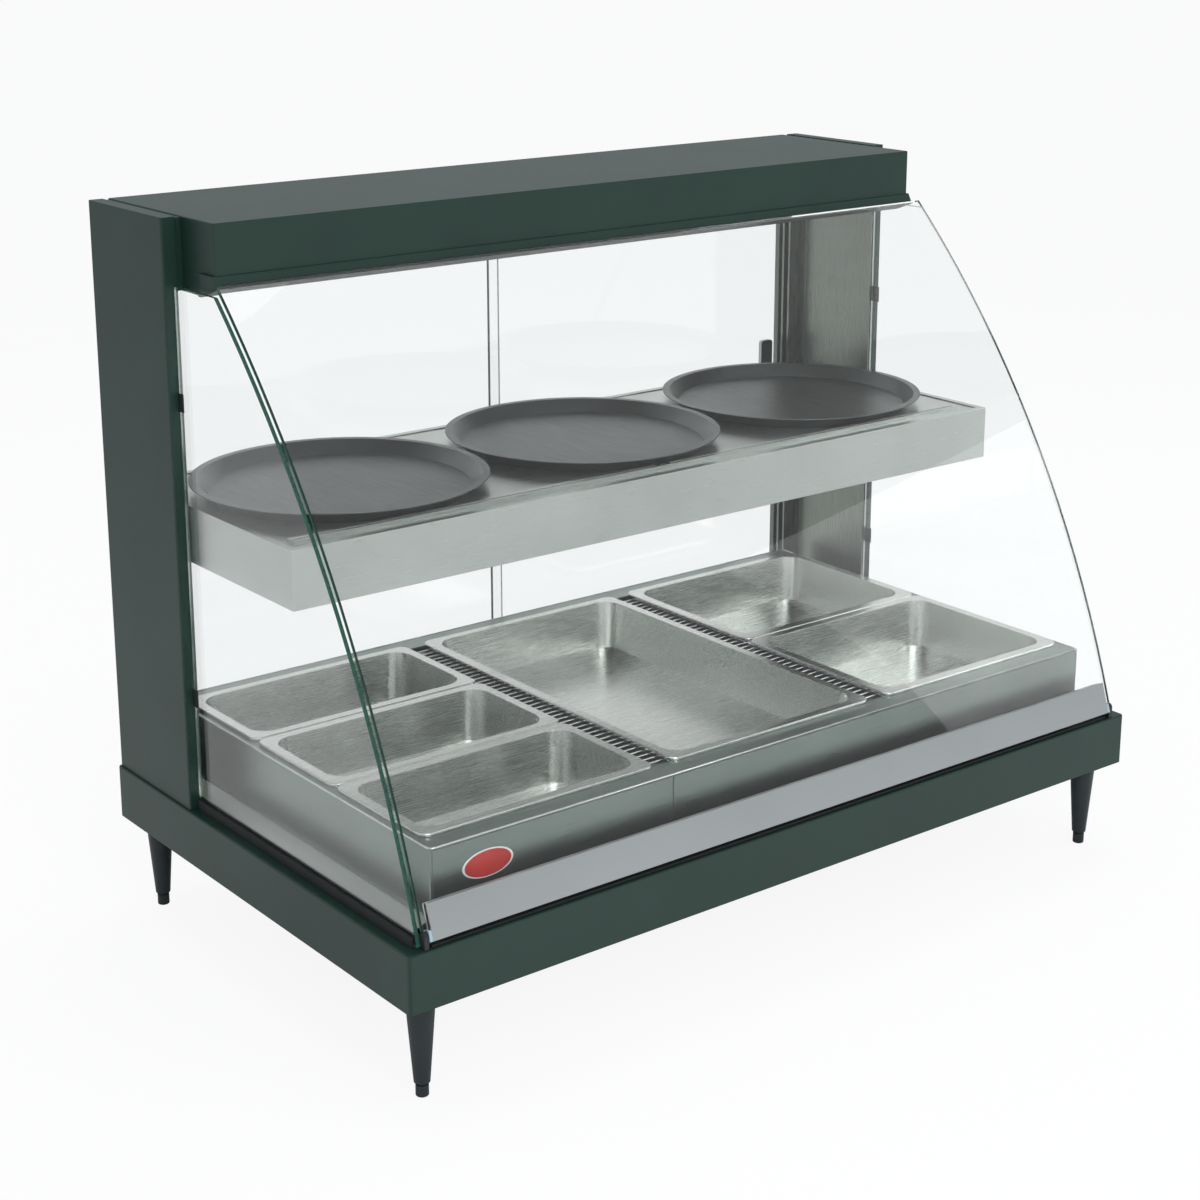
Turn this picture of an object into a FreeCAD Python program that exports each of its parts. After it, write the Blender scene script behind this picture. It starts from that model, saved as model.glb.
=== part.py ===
import FreeCAD, Part
import math
import os

# Curved-glass heated display case, in millimetres.
# +X is the customer's right when facing the glass, +Y is the serving side, +Z is up.
# The origin is on the counter, under the centre of the base housing.

# ---- driving dimensions ----
CASE_WIDTH = 1156.0
BASE_DEPTH = 675.6
CASE_HEIGHT = 913.8
LEG_HEIGHT = 121.0
BASE_HEIGHT = 68.5
BASE_CORNER = 5.0
BASE_TOP_ROUND = 2.0
BASE_RIM = 14.0
SILL_GAP = 4.0
SHEET = 1.5
GAP = 0.3
SEAT = 0.1

LEG_INSET = 36.0
LEG_COLLAR = 4.0
LEG_TOP_RADIUS = 17.0
LEG_LOW_RADIUS = 9.3
FOOT_RADIUS = 7.5
FOOT_HEIGHT = 17.0
FOOT_WAIST = 3.0
FOOT_EDGE = 1.5
FOOT_STEM_RADIUS = 5.0
FOOT_STEM_LENGTH = 22.0
STEM_CLEARANCE = 0.05

COLUMN_INSET = 3.4
COLUMN_DEPTH = 184.0
COLUMN_FLANGE = 18.5
LINER_SHEET = 1.5
LINER_HEM = 0.8
FRONT_HEM_WIDTH = 15.0
REAR_HEM_WIDTH = 12.0
COLUMN_CORNER = 2.0
SCREW_RADIUS = 3.6
SCREW_END_INSET = 60.0
JAMB_WIDTH = 22.0
JAMB_DEPTH = 34.0
JAMB_SLOT_GAP = 2.0

HOOD_HALF_CLEARANCE = 7.8
HOOD_OVERHANG = 75.4
HOOD_CAP_HEIGHT = 60.0
LIP_DROP = 26.0
LIP_OVERHANG = 7.5
NOSE_KNEE = 11.5
NOSE_SLOPE = 8.0
NOSE_FLAT = 31.0
NOSE_BACK = 30.0
NOSE_SIDE = 4.0
HOOD_CORNER = 2.5
REFLECTOR_INSET = 50.0
REFLECTOR_ADVANCE = 10.0
REFLECTOR_DEPTH = 84.0
REFLECTOR_HEIGHT = 50.0
REFLECTOR_FLANGE = 12.0
REFLECTOR_SHEET = 1.2
ELEMENT_RADIUS = 4.5
GUARD_WIRE = 1.5
GUARD_CROSS_WIRE = 1.2
LAMP_PITCH = 300.0
LAMP_LENGTH = 118.0
LAMP_RADIUS = 5.0
SOCKET_LENGTH = 14.0

WELL_SIDE_INSET = 55.4
WELL_FRONT_INSET = 42.4
WELL_DEPTH = 585.0
WELL_HEIGHT = 93.5
WELL_FLOOR_RISE = 15.0
WELL_SHEET = 1.2
PAN_END_SEAT = 5.5
PAN_SIDE_SEAT = 7.9
WELL_CORNER = 2.5
DECK_LEDGE = 40.0
LEDGE_REACH = 16.0
SEAM_OFFSET = 8.0
HEATER_THICKNESS = 4.0
HEATER_INSET = 30.0
INSULATION_THICKNESS = 25.0
INSULATION_INSET = 45.0
SKIRT_SEAM = 1.2
SKIRT_SHEET = 1.0

PAN_LENGTH = 530.0
PAN_WIDTH = 325.0
PAN_GAP = 2.0
BAY_MARGIN = 8.1
PAN_DEPTH = 65.0
PAN_RIM = 12.0
PAN_RIM_THICKNESS = 4.0
PAN_SHEET = 0.9
PAN_CORNER = 26.0
PAN_DRAFT = 8.0
RACK_WIRE = 2.5
RACK_RUNG = 1.25
RACK_RUNG_PITCH = 12.0

SHELF_HALF_CLEARANCE = 24.6
SHELF_FRONT = 252.7
SHELF_BOTTOM = 502.2
SHELF_HEIGHT = 69.7
SHELF_SHEET = 1.2
SHELF_REAR_GAP = 6.0
SHELF_LIP = 10.0
SHELF_HEATER_MARGIN = 30.0
BRACKET_INSET = 8.0
SHELF_RAIL_INSET = 22.0
SHELF_RAIL_WIDTH = 14.0
SHELF_RAIL_HEIGHT = 5.0
TRAY_RADIUS = 180.0
TRAY_FLARE = 22.0
TRAY_RIM = 8.0
TRAY_HEIGHT = 17.0
TRAY_STANDOFF = 5.5
TRAY_GAP = 9.0
TRAY_SHEET = 1.2

GLASS = 6.0
GLASS_RADIUS = 1514.0
GLASS_TOP_REACH = 9.969215
GLASS_SIDE_INSET = 23.0
GLASS_FOOT_INSET = 7.4
GLASS_FOOT_RISE = 20.5
GLASS_TOP_GAP = 8.0
RAIL_END_INSET = 9.0
PIVOT_BELOW_GLASS_FOOT = 6.0
RAIL_ABOVE_GLASS_FOOT = 28.5
RAIL_BELOW_GLASS_FOOT = 12.5
RAIL_WALL = 2.6
END_CAP = 4.0
HINGE_PLATE = 6.0
HINGE_HEAD_RADIUS = 5.5
PIN_RADIUS = 3.0
PIN_LENGTH = 20.0
PIN_CLEARANCE = 0.05
SIDE_GLASS = 5.0
SIDE_GLASS_CLEARANCE = 1.8
CHANNEL_HEIGHT = 13.0
CHANNEL_WALL = 3.0

DOOR_GLASS = 5.0
DOOR_TRACK_PITCH = 13.0
DOOR_OVERLAP = 4.0
DOOR_PULL_WIDTH = 22.0
DOOR_PULL_DEPTH = 6.0
TRACK_WALL = 2.0
TRACK_RISE = 12.0
TRACK_GAP = 3.0
DOOR_HEADROOM = 3.5
DOOR_ENTRY = 10.0
PULL_INSET = 12.0
PULL_LENGTH = 140.0

PANEL_WIDTH = 300.0
PANEL_RECESS = 22.0
PANEL_BORDER = 9.0
PANEL_FLANGE = 5.0
PANEL_SIDE_FLANGE = 8.0
PANEL_SHEET = 1.2
PANEL_END_INSET = 46.0
KNOB_RADIUS = 15.0
KNOB_DEPTH = 14.0
KNOB_PITCH = 62.0
SHAFT_RADIUS = 3.0
SHAFT_CLEARANCE = 0.05
ROCKER_WIDTH = 13.0
ROCKER_HEIGHT = 24.0
ROCKER_TILT = 9.0
ROCKER_PITCH = 46.0
GLAND_INSET = 90.0
GLAND_WALL = 3.0
GLAND_RADIUS = 12.0
GLAND_BORE = 6.0
GLAND_LENGTH = 18.0

# ---- derived datums ----
HALF_WIDTH = CASE_WIDTH / 2
HALF_DEPTH = BASE_DEPTH / 2
BASE_BOTTOM = LEG_HEIGHT
BASE_TOP = BASE_BOTTOM + BASE_HEIGHT
COLUMN_X = HALF_WIDTH - COLUMN_INSET
COLUMN_REAR = HALF_DEPTH - COLUMN_INSET
COLUMN_FRONT = COLUMN_REAR - COLUMN_DEPTH
LINER_X = COLUMN_X - COLUMN_FLANGE
HOOD_X = LINER_X - HOOD_HALF_CLEARANCE
HOOD_FRONT = COLUMN_FRONT - HOOD_OVERHANG
HOOD_BOTTOM = CASE_HEIGHT - HOOD_CAP_HEIGHT
LIP_BOTTOM = HOOD_BOTTOM - LIP_DROP
LIP_FRONT = HOOD_FRONT - LIP_OVERHANG
WELL_X = HALF_WIDTH - WELL_SIDE_INSET
BAY_GAP = (2 * WELL_X - 2 * BAY_MARGIN - 3 * PAN_WIDTH) / 2
WELL_END_LIP = (WELL_DEPTH - PAN_LENGTH) / 2 + PAN_END_SEAT
WELL_SIDE_LIP = BAY_MARGIN + PAN_SIDE_SEAT
WELL_FRONT = WELL_FRONT_INSET - HALF_DEPTH
WELL_REAR = WELL_FRONT + WELL_DEPTH
WELL_TOP = BASE_TOP + WELL_HEIGHT
WELL_FLOOR = BASE_TOP + WELL_FLOOR_RISE
PAN_MIDDLE_Y = (WELL_FRONT + WELL_REAR) / 2
BAY_PITCH = PAN_WIDTH + BAY_GAP
PAN_RIM_BOTTOM = WELL_TOP + GAP
RACK_HALF_WIDTH = BAY_GAP / 2 + PAN_RIM / 2
SHELF_X = HALF_WIDTH - SHELF_HALF_CLEARANCE
SHELF_TOP = SHELF_BOTTOM + SHELF_HEIGHT
SHELF_FRONT_Y = SHELF_FRONT - HALF_DEPTH
JAMB_X = LINER_X - JAMB_WIDTH
DOOR_OUTER_Y = COLUMN_REAR - DOOR_TRACK_PITCH
DOOR_INNER_Y = DOOR_OUTER_Y - DOOR_TRACK_PITCH
SHELF_REAR_Y = COLUMN_REAR - JAMB_DEPTH - SHELF_REAR_GAP
DOOR_BOTTOM = BASE_TOP + TRACK_WALL + GAP
DOOR_TOP = LIP_BOTTOM - DOOR_HEADROOM
TRAY_FLOOR_RADIUS = TRAY_RADIUS - TRAY_FLARE
TRAY_PITCH = 2 * TRAY_RADIUS + TRAY_GAP
TRAY_Y = SHELF_FRONT_Y + SHELF_RAIL_INSET + SHELF_RAIL_WIDTH + TRAY_FLOOR_RADIUS + TRAY_STANDOFF
GLASS_FOOT_Y = GLASS_FOOT_INSET - HALF_DEPTH
GLASS_FOOT_Z = BASE_TOP + GLASS_FOOT_RISE
GLASS_TOP_Y = LIP_FRONT - GLASS_TOP_REACH
GLASS_TOP_Z = HOOD_BOTTOM - GLASS_TOP_GAP
CHORD = math.hypot(GLASS_TOP_Y - GLASS_FOOT_Y, GLASS_TOP_Z - GLASS_FOOT_Z)
CHORD_LEAN = math.atan2(GLASS_TOP_Y - GLASS_FOOT_Y, GLASS_TOP_Z - GLASS_FOOT_Z)
LOW = CHORD_LEAN - math.asin(CHORD / (2 * GLASS_RADIUS))
GLASS_CENTRE_Y = GLASS_FOOT_Y + GLASS_RADIUS * math.cos(LOW)
GLASS_CENTRE_Z = GLASS_FOOT_Z - GLASS_RADIUS * math.sin(LOW)
HIGH = CHORD_LEAN + math.asin(CHORD / (2 * GLASS_RADIUS))
GLASS_HALF_WIDTH = HALF_WIDTH - GLASS_SIDE_INSET
RAIL_HALF_LENGTH = GLASS_HALF_WIDTH - RAIL_END_INSET
SIDE_GLASS_X = GLASS_HALF_WIDTH + SIDE_GLASS_CLEARANCE
PIVOT_ANGLE = LOW - PIVOT_BELOW_GLASS_FOOT / GLASS_RADIUS
PIVOT_Y = GLASS_CENTRE_Y - (GLASS_RADIUS - GLASS / 2) * math.cos(PIVOT_ANGLE)
PIVOT_Z = GLASS_CENTRE_Z + (GLASS_RADIUS - GLASS / 2) * math.sin(PIVOT_ANGLE)
HINGE_X = RAIL_HALF_LENGTH + END_CAP + GAP
PANEL_FACE_Y = HALF_DEPTH - PANEL_RECESS
PANEL_Z = BASE_BOTTOM + BASE_HEIGHT / 2


# ---- shape helpers ----
def box(x0, x1, y0, y1, z0, z1):
    return Part.makeBox(x1 - x0, y1 - y0, z1 - z0, FreeCAD.Vector(x0, y0, z0))


def rod(radius, length, x, y, z, direction):
    return Part.makeCylinder(radius, length, FreeCAD.Vector(x, y, z), FreeCAD.Vector(*direction))


def cone(low, high, length, x, y, z):
    return Part.makeCone(low, high, length, FreeCAD.Vector(x, y, z), FreeCAD.Vector(0, 0, 1))


def join(shapes):
    result = shapes[0]
    if len(shapes) > 1:
        result = shapes[0].multiFuse(shapes[1:])
    return result.removeSplitter()


def mirrored(shape):
    return shape.mirror(FreeCAD.Vector(0, 0, 0), FreeCAD.Vector(1, 0, 0))


def pair(shape):
    return Part.makeCompound([shape, mirrored(shape)])


def profile_x(points, x0, x1):
    """Extrude a closed (y, z) outline from x0 to x1."""
    corners = [FreeCAD.Vector(x0, y, z) for y, z in points]
    wire = Part.makePolygon(corners + [corners[0]])
    return Part.Face(wire).extrude(FreeCAD.Vector(x1 - x0, 0, 0))


def rounded_wire(x0, x1, y0, y1, z, radius):
    """A rounded rectangle at height z."""
    diagonal = radius * (1 - math.sqrt(0.5))
    points = []
    for cx, cy, sx, sy in ((x1, y0, 1, -1), (x1, y1, 1, 1), (x0, y1, -1, 1), (x0, y0, -1, -1)):
        before = FreeCAD.Vector(cx - sx * radius, cy, z)
        after = FreeCAD.Vector(cx, cy - sy * radius, z)
        middle = FreeCAD.Vector(cx - sx * diagonal, cy - sy * diagonal, z)
        if sx * sy > 0:
            before, after = after, before
        points.append((before, middle, after))
    edges = []
    for index, (before, middle, after) in enumerate(points):
        edges.append(Part.Arc(before, middle, after).toShape())
        edges.append(Part.LineSegment(after, points[(index + 1) % 4][0]).toShape())
    return Part.Wire(edges)


def rounded_block(x0, x1, y0, y1, z0, z1, radius):
    wire = rounded_wire(x0, x1, y0, y1, z0, radius)
    return Part.Face(wire).extrude(FreeCAD.Vector(0, 0, z1 - z0))


def tapered_block(x0, x1, y0, y1, z0, z1, radius, draft):
    low = rounded_wire(x0 + draft, x1 - draft, y0 + draft, y1 - draft, z0, radius)
    high = rounded_wire(x0, x1, y0, y1, z1, radius)
    return Part.makeLoft([low, high], True, True)


def upright_edges(shape, x, y):
    """The vertical edges of a shape that stand at |x|, y."""
    found = []
    for edge in shape.Edges:
        box_ = edge.BoundBox
        if box_.ZLength > 1 and box_.XLength < 0.01 and box_.YLength < 0.01:
            if abs(abs(box_.XMin) - x) < 0.01 and abs(box_.YMin - y) < 0.01:
                found.append(edge)
    return found


def glass_point(angle, radius):
    return (GLASS_CENTRE_Y - radius * math.cos(angle), GLASS_CENTRE_Z + radius * math.sin(angle))


def curved_sheet(x0, x1, outer, inner, low, high):
    """A sheet between two concentric arcs of the glass curve."""
    middle = (low + high) / 2
    corners = []
    for radius, angles in ((outer, (low, middle, high)), (inner, (high, middle, low))):
        for angle in angles:
            y, z = glass_point(angle, radius)
            corners.append(FreeCAD.Vector(x0, y, z))
    edges = [
        Part.Arc(corners[0], corners[1], corners[2]).toShape(),
        Part.LineSegment(corners[2], corners[3]).toShape(),
        Part.Arc(corners[3], corners[4], corners[5]).toShape(),
        Part.LineSegment(corners[5], corners[0]).toShape(),
    ]
    return Part.Face(Part.Wire(edges)).extrude(FreeCAD.Vector(x1 - x0, 0, 0))


# ---- base ----
def base_housing():
    outer = rounded_block(-HALF_WIDTH, HALF_WIDTH, -HALF_DEPTH, HALF_DEPTH, BASE_BOTTOM, BASE_TOP,
                          BASE_CORNER)
    top_edges = [e for e in outer.Edges if e.BoundBox.ZMin > BASE_TOP - 0.01]
    outer = outer.makeFillet(BASE_TOP_ROUND, top_edges)
    inner = box(-HALF_WIDTH + SHEET, HALF_WIDTH - SHEET, -HALF_DEPTH + SHEET, HALF_DEPTH - SHEET,
                BASE_BOTTOM - 1, BASE_TOP - SHEET)
    mouth_x = SIDE_GLASS_X - CHANNEL_WALL - SILL_GAP
    mouth = box(-mouth_x, mouth_x, -HALF_DEPTH + BASE_RIM, HALF_DEPTH - BASE_RIM,
                BASE_TOP - SHEET - 1, BASE_TOP + 1)
    window_x = PANEL_WIDTH / 2 - PANEL_BORDER + GAP
    window = box(-window_x, window_x, HALF_DEPTH - SHEET - 1, HALF_DEPTH + 1,
                 BASE_BOTTOM + PANEL_BORDER - GAP, BASE_TOP - PANEL_BORDER + GAP)
    gland = rod(GLAND_RADIUS - GLAND_WALL + GAP, 10, gland_x(), HALF_DEPTH - 8, gland_z(), (0, 1, 0))
    return outer.cut(inner).cut(mouth).cut(window).cut(gland)


def gland_x():
    return HALF_WIDTH - GLAND_INSET


def gland_z():
    return BASE_BOTTOM + BASE_HEIGHT / 2


def base_floor():
    inset = SHEET + GAP
    plate = box(-HALF_WIDTH + inset, HALF_WIDTH - inset, -HALF_DEPTH + inset, HALF_DEPTH - inset,
                BASE_BOTTOM, BASE_BOTTOM + SHEET)
    for x, y in leg_places():
        plate = plate.cut(rod(FOOT_STEM_RADIUS + GAP, 4, x, y, BASE_BOTTOM - 1, (0, 0, 1)))
    return plate


def base_deck():
    inset = SHEET + GAP
    plate = box(-HALF_WIDTH + inset, HALF_WIDTH - inset, -HALF_DEPTH + inset, HALF_DEPTH - inset,
                BASE_TOP - 2 * SHEET, BASE_TOP - SHEET)
    hole = box(-WELL_X + DECK_LEDGE, WELL_X - DECK_LEDGE, WELL_FRONT + DECK_LEDGE, WELL_REAR - DECK_LEDGE,
               BASE_TOP - 3 * SHEET, BASE_TOP)
    return plate.cut(hole)


def leg_places():
    x = HALF_WIDTH - LEG_INSET
    y = HALF_DEPTH - LEG_INSET
    return [(-x, -y), (x, -y), (-x, y), (x, y)]


def leg(x, y):
    shank = cone(LEG_LOW_RADIUS, LEG_TOP_RADIUS, LEG_HEIGHT - FOOT_HEIGHT - LEG_COLLAR, x, y, FOOT_HEIGHT)
    collar = rod(LEG_TOP_RADIUS, LEG_COLLAR, x, y, LEG_HEIGHT - LEG_COLLAR, (0, 0, 1))
    bore = rod(FOOT_STEM_RADIUS + STEM_CLEARANCE, FOOT_STEM_LENGTH + 6, x, y, FOOT_HEIGHT - 1, (0, 0, 1))
    return join([shank, collar]).cut(bore)


def foot(x, y):
    pad = rod(FOOT_RADIUS, FOOT_HEIGHT - FOOT_WAIST, x, y, 0, (0, 0, 1))
    rim = [e for e in pad.Edges if e.BoundBox.ZMax < 0.01]
    pad = pad.makeFillet(FOOT_EDGE, rim)
    waist = rod(FOOT_RADIUS - FOOT_EDGE, FOOT_WAIST - GAP, x, y, FOOT_HEIGHT - FOOT_WAIST, (0, 0, 1))
    stem = rod(FOOT_STEM_RADIUS, FOOT_STEM_LENGTH, x, y, FOOT_HEIGHT - GAP, (0, 0, 1))
    return join([pad, waist, stem])


# ---- heated well ----
def well_shell():
    outer = box(-WELL_X, WELL_X, WELL_FRONT, WELL_REAR, BASE_TOP - SHEET, WELL_TOP)
    outer = outer.makeFillet(WELL_CORNER, upright_edges(outer, WELL_X, WELL_FRONT))
    cavity = box(-WELL_X + WELL_SHEET, WELL_X - WELL_SHEET, WELL_FRONT + WELL_SHEET, WELL_REAR - WELL_SHEET,
                 WELL_FLOOR, WELL_TOP - WELL_SHEET)
    mouth = box(-WELL_X + WELL_SIDE_LIP, WELL_X - WELL_SIDE_LIP, WELL_FRONT + WELL_END_LIP,
                WELL_REAR - WELL_END_LIP, WELL_FLOOR, WELL_TOP + 1)
    under = box(-WELL_X + WELL_SHEET, WELL_X - WELL_SHEET, WELL_FRONT + WELL_SHEET, WELL_REAR - WELL_SHEET,
                BASE_TOP - SHEET - 1, WELL_FLOOR - WELL_SHEET)
    shell = outer.cut(cavity).cut(mouth).cut(under)
    ledge_z = WELL_TOP - 2 * RACK_WIRE - SEAT
    reach = WELL_END_LIP + LEDGE_REACH
    ledges = []
    for middle in (-BAY_PITCH / 2, BAY_PITCH / 2):
        x0 = middle - RACK_HALF_WIDTH - RACK_WIRE - 1
        x1 = middle + RACK_HALF_WIDTH + RACK_WIRE + 1
        front = WELL_FRONT + WELL_SHEET
        rear = WELL_REAR - WELL_SHEET
        ledges.append(box(x0, x1, front, front + reach, ledge_z - WELL_SHEET, ledge_z))
        ledges.append(box(x0, x1, rear - reach, rear, ledge_z - WELL_SHEET, ledge_z))
    return join([shell] + ledges)


def well_front_skirts():
    seam = -HALF_WIDTH + CASE_WIDTH / 3 + SEAM_OFFSET
    panels = []
    for x0, x1 in ((-WELL_X + WELL_CORNER, seam - SKIRT_SEAM), (seam + SKIRT_SEAM, WELL_X - WELL_CORNER)):
        panels.append(box(x0, x1, WELL_FRONT - SKIRT_SHEET, WELL_FRONT, BASE_TOP + 2, WELL_TOP - WELL_CORNER))
    return Part.makeCompound(panels)


def well_heater():
    inset = HEATER_INSET
    z1 = WELL_FLOOR - WELL_SHEET
    return box(-WELL_X + inset, WELL_X - inset, WELL_FRONT + inset, WELL_REAR - inset,
               z1 - HEATER_THICKNESS, z1)


def well_insulation():
    inset = INSULATION_INSET
    z1 = WELL_FLOOR - WELL_SHEET - HEATER_THICKNESS
    return box(-WELL_X + inset, WELL_X - inset, WELL_FRONT + inset, WELL_REAR - inset,
               z1 - INSULATION_THICKNESS, z1)


def wire_rack(side):
    """A ladder of two rails and cross wires that closes the gap between two bays."""
    middle = side * BAY_PITCH / 2
    rail_x = RACK_HALF_WIDTH
    z = WELL_TOP - RACK_WIRE
    y0 = WELL_FRONT + WELL_END_LIP + GAP
    y1 = WELL_REAR - WELL_END_LIP - GAP
    pieces = [rod(RACK_WIRE, y1 - y0, middle + s * rail_x, y0, z, (0, 1, 0)) for s in (-1, 1)]
    count = int((y1 - y0 - 10) / RACK_RUNG_PITCH)
    first = (y0 + y1) / 2 - RACK_RUNG_PITCH * (count - 1) / 2
    for index in range(count):
        y = first + index * RACK_RUNG_PITCH
        pieces.append(rod(RACK_RUNG, 2 * rail_x, middle - rail_x, y, z, (1, 0, 0)))
    return pieces[0].multiFuse(pieces[1:])


def wire_racks():
    return Part.makeCompound([wire_rack(-1), wire_rack(1)])


def food_pan(cx, y0, y1):
    """A steam-table pan: tapered rounded body with a rolled rim."""
    x0 = cx - PAN_WIDTH / 2
    x1 = cx + PAN_WIDTH / 2
    rim_top = PAN_RIM_BOTTOM + PAN_RIM_THICKNESS
    bottom = rim_top - PAN_DEPTH
    rim = rounded_block(x0, x1, y0, y1, PAN_RIM_BOTTOM, rim_top, PAN_CORNER / 2)
    rim = rim.makeFillet(1.6, [e for e in rim.Edges if e.BoundBox.ZMin > rim_top - 0.01])
    body = tapered_block(x0 + PAN_RIM, x1 - PAN_RIM, y0 + PAN_RIM, y1 - PAN_RIM, bottom, rim_top - 1,
                         PAN_CORNER, PAN_DRAFT)
    wall = PAN_SHEET
    cavity = tapered_block(x0 + PAN_RIM + wall, x1 - PAN_RIM - wall, y0 + PAN_RIM + wall,
                           y1 - PAN_RIM - wall, bottom + wall, rim_top + 1, PAN_CORNER, PAN_DRAFT)
    return join([rim, body]).cut(cavity)


def pan_rows(count, share):
    """Front and rear limits of the pans in one bay, front first."""
    depth = PAN_LENGTH / share
    pitch = depth + PAN_GAP
    start = PAN_MIDDLE_Y - (count * depth + (count - 1) * PAN_GAP) / 2
    return [(start + index * pitch, start + index * pitch + depth) for index in range(count)]


# ---- columns ----
def column():
    """The right column: a steel channel open towards the display."""
    outer = box(LINER_X, COLUMN_X, COLUMN_FRONT, COLUMN_REAR, BASE_TOP, CASE_HEIGHT)
    edges = upright_edges(outer, COLUMN_X, COLUMN_FRONT) + upright_edges(outer, COLUMN_X, COLUMN_REAR)
    outer = outer.makeFillet(COLUMN_CORNER, edges)
    hollow = box(LINER_X - 1, COLUMN_X - SHEET, COLUMN_FRONT + SHEET, COLUMN_REAR - SHEET,
                 BASE_TOP - 1, CASE_HEIGHT - SHEET)
    return outer.cut(hollow)


def column_liner():
    """The stainless inner face of the right column, with two folded hems."""
    x0 = LINER_X - LINER_SHEET
    plate = box(x0, LINER_X, COLUMN_FRONT, COLUMN_REAR, BASE_TOP, LIP_BOTTOM)
    x1 = x0 - LINER_HEM
    front = box(x1, x0, COLUMN_FRONT, COLUMN_FRONT + FRONT_HEM_WIDTH, BASE_TOP, LIP_BOTTOM)
    rear_y = COLUMN_REAR - JAMB_DEPTH - REAR_HEM_WIDTH - 1
    rear = box(x1, x0, rear_y, rear_y + REAR_HEM_WIDTH, BASE_TOP, LIP_BOTTOM)
    return join([plate, front, rear])


def rear_jamb():
    """The right door jamb: an extrusion with one slot for each door."""
    y0 = COLUMN_REAR - JAMB_DEPTH
    z0 = BASE_TOP
    jamb = box(JAMB_X, LINER_X - LINER_SHEET, y0, COLUMN_REAR, z0, LIP_BOTTOM)
    for y in (DOOR_INNER_Y, DOOR_OUTER_Y):
        half = DOOR_GLASS / 2 + JAMB_SLOT_GAP
        slot = box(JAMB_X - 1, LINER_X - 2 * LINER_SHEET, y - half, y + half, z0 - 1, LIP_BOTTOM + 1)
        jamb = jamb.cut(slot)
    return jamb


def column_screws():
    heads = []
    for step in range(5):
        z = BASE_TOP + SCREW_END_INSET + step * (CASE_HEIGHT - BASE_TOP - 2 * SCREW_END_INSET) / 4
        x = COLUMN_X - COLUMN_FLANGE / 2
        head = rod(SCREW_RADIUS, SCREW_RADIUS / 2, x, COLUMN_REAR, z, (0, 1, 0))
        slot = box(x - 4, x + 4, COLUMN_REAR + 1, COLUMN_REAR + 3, z - 0.5, z + 0.5)
        heads.append(head.cut(slot))
    return Part.makeCompound(heads + [mirrored(head) for head in heads])


# ---- hood ----
def hood_cap():
    outer = box(-HOOD_X, HOOD_X, HOOD_FRONT, COLUMN_REAR, HOOD_BOTTOM, CASE_HEIGHT)
    outer = outer.makeFillet(HOOD_CORNER, upright_edges(outer, HOOD_X, HOOD_FRONT))
    top = [e for e in outer.Edges if e.BoundBox.ZMin > CASE_HEIGHT - 0.01]
    edges = [e for e in top if e.BoundBox.YMax < HOOD_FRONT + HOOD_CORNER + 0.5]
    outer = outer.makeFillet(1.5, edges)
    hollow = box(-HOOD_X + SHEET, HOOD_X - SHEET, HOOD_FRONT + SHEET, COLUMN_REAR - SHEET,
                 HOOD_BOTTOM - 1, CASE_HEIGHT - SHEET)
    return outer.cut(hollow)


def hood_mount_bar():
    """The bar that ties the hood to the right column."""
    return box(HOOD_X, LINER_X, COLUMN_FRONT + SHEET, COLUMN_REAR - SHEET, LIP_BOTTOM, CASE_HEIGHT - SHEET)


def nose_face(z):
    """The y of the nose's sloping front face at height z."""
    rise = (z - LIP_BOTTOM - NOSE_KNEE) / (LIP_DROP - NOSE_KNEE)
    return LIP_FRONT + NOSE_SLOPE * rise


def hood_nose():
    """The folded front edge under the cap that the glass closes against."""
    back = HOOD_FRONT + NOSE_BACK
    knee = LIP_BOTTOM + NOSE_KNEE
    x = HOOD_X + NOSE_SIDE
    w = SHEET
    outline = [(LIP_FRONT, knee), (LIP_FRONT + NOSE_SLOPE, HOOD_BOTTOM), (back, HOOD_BOTTOM),
               (back, LIP_BOTTOM), (LIP_FRONT + NOSE_FLAT, LIP_BOTTOM)]
    inside = [(LIP_FRONT + 1.6 * w, knee + 0.3 * w), (LIP_FRONT + NOSE_SLOPE + 0.8 * w, HOOD_BOTTOM - w),
              (back - w, HOOD_BOTTOM - w), (back - w, LIP_BOTTOM + w),
              (LIP_FRONT + NOSE_FLAT + 0.2 * w, LIP_BOTTOM + w)]
    outer = profile_x(outline, -x, x)
    inner = profile_x(inside, -x + w, x - w)
    return outer.cut(inner)


def hood_bottom():
    """The tray that closes the hood from below, open round the reflector."""
    y0 = HOOD_FRONT + NOSE_BACK
    outer = box(-HOOD_X, HOOD_X, y0, COLUMN_REAR, LIP_BOTTOM, HOOD_BOTTOM)
    hollow = box(-HOOD_X + SHEET, HOOD_X - SHEET, y0 + SHEET, COLUMN_REAR - SHEET,
                 LIP_BOTTOM + SHEET, HOOD_BOTTOM + 1)
    x, ry0, ry1, _ = reflector_limits()
    return outer.cut(hollow).cut(box(-x - GAP, x + GAP, ry0 - GAP, ry1 + GAP, LIP_BOTTOM - 1, LIP_BOTTOM + 3))


def reflector_limits():
    """Half length, front, rear and top of the reflector trough."""
    front = COLUMN_FRONT - REFLECTOR_ADVANCE
    return (HOOD_X - REFLECTOR_INSET, front, front + REFLECTOR_DEPTH, LIP_BOTTOM + REFLECTOR_HEIGHT)


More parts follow.
